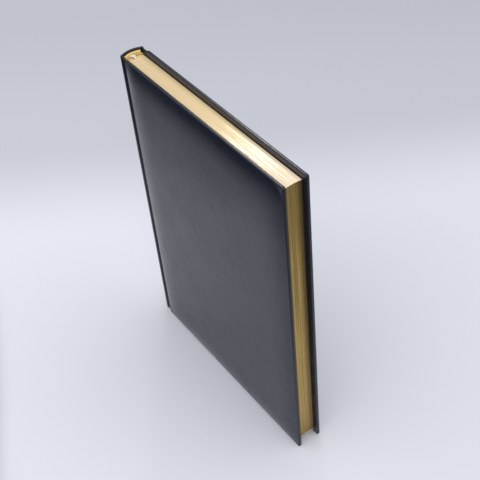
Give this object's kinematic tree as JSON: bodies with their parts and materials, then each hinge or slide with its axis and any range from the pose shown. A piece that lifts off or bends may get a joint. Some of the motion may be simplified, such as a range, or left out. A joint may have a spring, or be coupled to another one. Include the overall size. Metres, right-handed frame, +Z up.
{
  "type": "undated planner",
  "caption": "Hardcover planner with padded leather-look covers, gilt page edges, a rounded spine with headbands and a ribbon marker; both covers open flat.",
  "frame": {"origin": "middle of the footprint of the standing planner, on the surface it stands on", "axes": "+X from the spine to the fore-edge, front cover faces -Y, +Z up from the tail to the head"},
  "size_m": [0.1562, 0.02, 0.212],
  "materials": {
    "gilt_pages": "satin",
    "endpaper": "matte",
    "lining": "matte",
    "headband": "satin",
    "ribbon": "satin",
    "board": "matte",
    "padding": "matte",
    "cover_skin": "satin"
  },
  "bodies": {
    "root": {"page_block": "gilt_pages", "front_flyleaf": "endpaper", "back_flyleaf": "endpaper", "spine_lining": "lining", "head_band": "headband", "tail_band": "headband", "ribbon_marker": "ribbon", "spine_inlay": "board", "spine_skin": "cover_skin"},
    "front_cover": {"front_board": "board", "front_padding": "padding", "front_skin": "cover_skin", "front_pastedown": "endpaper"},
    "back_cover": {"back_board": "board", "back_padding": "padding", "back_skin": "cover_skin", "back_pastedown": "endpaper"}
  },
  "joints": [
    {"name": "front_hinge", "type": "hinge", "parent": "root", "child": "front_cover", "pos_m": [-0.0722, -0.00845, 0], "axis": [0, 0, -1], "range_deg": [0, 175]},
    {"name": "back_hinge", "type": "hinge", "parent": "root", "child": "back_cover", "pos_m": [-0.0722, 0.00845, 0], "axis": [0, 0, 1], "range_deg": [0, 175]}
  ]
}
